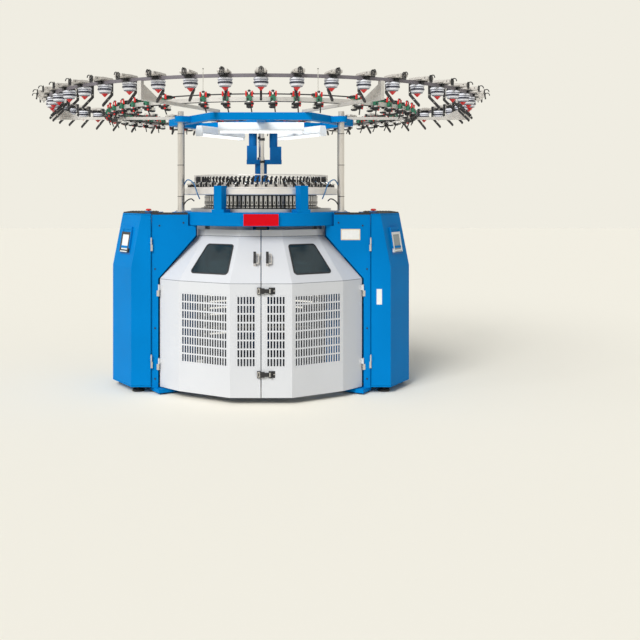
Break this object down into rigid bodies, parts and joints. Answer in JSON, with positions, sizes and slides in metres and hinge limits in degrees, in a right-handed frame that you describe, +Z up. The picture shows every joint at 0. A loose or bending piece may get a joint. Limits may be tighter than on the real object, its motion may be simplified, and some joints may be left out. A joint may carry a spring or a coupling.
{
  "type": "industrial knitting machine",
  "caption": "Circular knitting machine with slotted safety doors, side cabinets, needle cylinder, and a wide overhead ring of yarn feeders.",
  "frame": {"origin": "floor level on the axis of the needle cylinder", "axes": "+Z up along the cylinder axis, the doors face -Y, +X to the right seen from the front"},
  "size_m": [3.2808, 3.288, 2.096],
  "materials": {
    "blue_paint": "semi-gloss powder coat",
    "white_paint": "satin powder coat",
    "steel": "ground and oiled steel",
    "chrome": "hard chrome",
    "black_steel": "blackened steel",
    "grey_metal": "cast and extruded aluminium",
    "white_plastic": "moulded plastic",
    "green_plastic": "moulded plastic",
    "red_plastic": "moulded plastic",
    "red_plate": "painted plate",
    "rubber": "black rubber",
    "lamp_white": "lamp housing and diffuser",
    "window": "smoked safety glass",
    "motor_paint": "grey enamel"
  },
  "bodies": {
    "frame": {"front_legs": "blue_paint", "rear_leg": "blue_paint", "levelling_feet": "rubber", "base_spider": "blue_paint", "bed_ring": "blue_paint", "front_plate": "red_plate", "side_panels": "blue_paint", "rear_guards": "white_paint", "left_cabinet": "blue_paint", "right_cabinet": "blue_paint", "top_mats": "rubber", "hinge_pins": "steel", "base_plate": "steel", "ring_pillars": "blue_paint", "cam_drum": "steel", "cam_ring": "steel", "yarn_feeders": "black_steel", "yarn_guide_ring": "steel", "dial_cam_plate": "steel", "centre_column": "blue_paint", "drive_hub": "blue_paint", "posts": "chrome", "top_frame": "blue_paint", "lamps": "lamp_white", "ring_arms": "grey_metal", "outer_ring": "grey_metal", "inner_ring": "grey_metal", "storage_housings": "grey_metal", "storage_drums": "white_plastic", "storage_hooks": "black_steel", "feeder_bodies": "green_plastic", "feeder_wheels": "red_plastic", "feed_belts": "rubber", "control_boxes": "motor_paint", "drive_motor": "motor_paint", "drive_belt": "rubber"},
    "left_door": {"left_door": "white_paint", "left_grilles": "white_paint", "left_window": "window", "left_handle": "black_steel"},
    "right_door": {"right_door": "white_paint", "right_grilles": "white_paint", "right_window": "window", "right_handle": "black_steel"},
    "upper_latch": {"upper_latch": "black_steel"},
    "lower_latch": {"lower_latch": "black_steel"},
    "left_cabinet_door": {"left_cabinet_door": "blue_paint"},
    "right_cabinet_door": {"right_cabinet_door": "blue_paint"},
    "left_stop_button": {"left_stop_button": "red_plastic"},
    "right_stop_button": {"right_stop_button": "red_plastic"},
    "rotor": {"needle_cylinder": "steel", "gear_ring": "steel", "takedown_frame": "steel"},
    "front_takedown_roller": {"front_takedown_roller": "rubber"},
    "rear_takedown_roller": {"rear_takedown_roller": "rubber"},
    "winding_shaft": {"winding_shaft": "steel"},
    "dial": {"dial": "steel"},
    "drive_shaft": {"drive_shaft": "steel"},
    "motor_pulley": {"motor_pulley": "steel"}
  },
  "joints": [
    {"name": "left_door_hinge", "type": "hinge", "parent": "frame", "child": "left_door", "pos_m": [-0.7069, -0.42682, 0.6], "axis": [0, 0, 1], "range_deg": [-105, 0]},
    {"name": "right_door_hinge", "type": "hinge", "parent": "frame", "child": "right_door", "pos_m": [0.7069, -0.42682, 0.6], "axis": [0, 0, 1], "range_deg": [0, 105]},
    {"name": "upper_latch_pin", "type": "hinge", "parent": "right_door", "child": "upper_latch", "pos_m": [0.066, -0.771, 0.745], "axis": [0, 0, 1], "range_deg": [0, 110]},
    {"name": "lower_latch_pin", "type": "hinge", "parent": "right_door", "child": "lower_latch", "pos_m": [0.066, -0.771, 0.199], "axis": [0, 0, 1], "range_deg": [0, 110]},
    {"name": "left_cabinet_hinge", "type": "hinge", "parent": "frame", "child": "left_cabinet_door", "pos_m": [-0.758, -0.435, 1.05], "axis": [0, 0, 1], "range_deg": [0, 95]},
    {"name": "right_cabinet_hinge", "type": "hinge", "parent": "frame", "child": "right_cabinet_door", "pos_m": [0.758, -0.435, 1.05], "axis": [0, 0, 1], "range_deg": [-95, 0]},
    {"name": "left_stop_press", "type": "slide", "parent": "frame", "child": "left_stop_button", "axis": [0, 0, -1], "range_m": [0, 0.006], "stiffness_N_per_m": 800},
    {"name": "right_stop_press", "type": "slide", "parent": "frame", "child": "right_stop_button", "axis": [0, 0, -1], "range_m": [0, 0.006], "stiffness_N_per_m": 800},
    {"name": "cylinder_turn", "type": "hinge", "parent": "frame", "child": "rotor", "pos_m": [0, 0, 0.66], "axis": [0, 0, 1], "continuous": true},
    {"name": "dial_turn", "type": "hinge", "parent": "frame", "child": "dial", "pos_m": [0, 0, 1.6], "axis": [0, 0, 1], "continuous": true},
    {"name": "drive_shaft_turn", "type": "hinge", "parent": "frame", "child": "drive_shaft", "pos_m": [0.45466, 0.2625, 0.66], "axis": [0, 0, 1], "continuous": true},
    {"name": "motor_turn", "type": "hinge", "parent": "frame", "child": "motor_pulley", "pos_m": [0.39402, 0.50433, 0.48], "axis": [0, 0, 1], "continuous": true},
    {"name": "front_roller_turn", "type": "hinge", "parent": "rotor", "child": "front_takedown_roller", "pos_m": [0, -0.032, 0.7], "axis": [1, 0, 0], "continuous": true},
    {"name": "rear_roller_turn", "type": "hinge", "parent": "rotor", "child": "rear_takedown_roller", "pos_m": [0, 0.032, 0.7], "axis": [1, 0, 0], "continuous": true},
    {"name": "winding_turn", "type": "hinge", "parent": "rotor", "child": "winding_shaft", "pos_m": [0, 0, 0.4], "axis": [1, 0, 0], "continuous": true}
  ],
  "couplings": [
    {"joint": "dial_turn", "follows": "cylinder_turn", "ratio": 1},
    {"joint": "drive_shaft_turn", "follows": "cylinder_turn", "ratio": -6},
    {"joint": "motor_turn", "follows": "cylinder_turn", "ratio": -6},
    {"joint": "front_roller_turn", "follows": "cylinder_turn", "ratio": 2},
    {"joint": "rear_roller_turn", "follows": "cylinder_turn", "ratio": -2},
    {"joint": "winding_turn", "follows": "cylinder_turn", "ratio": 1}
  ]
}
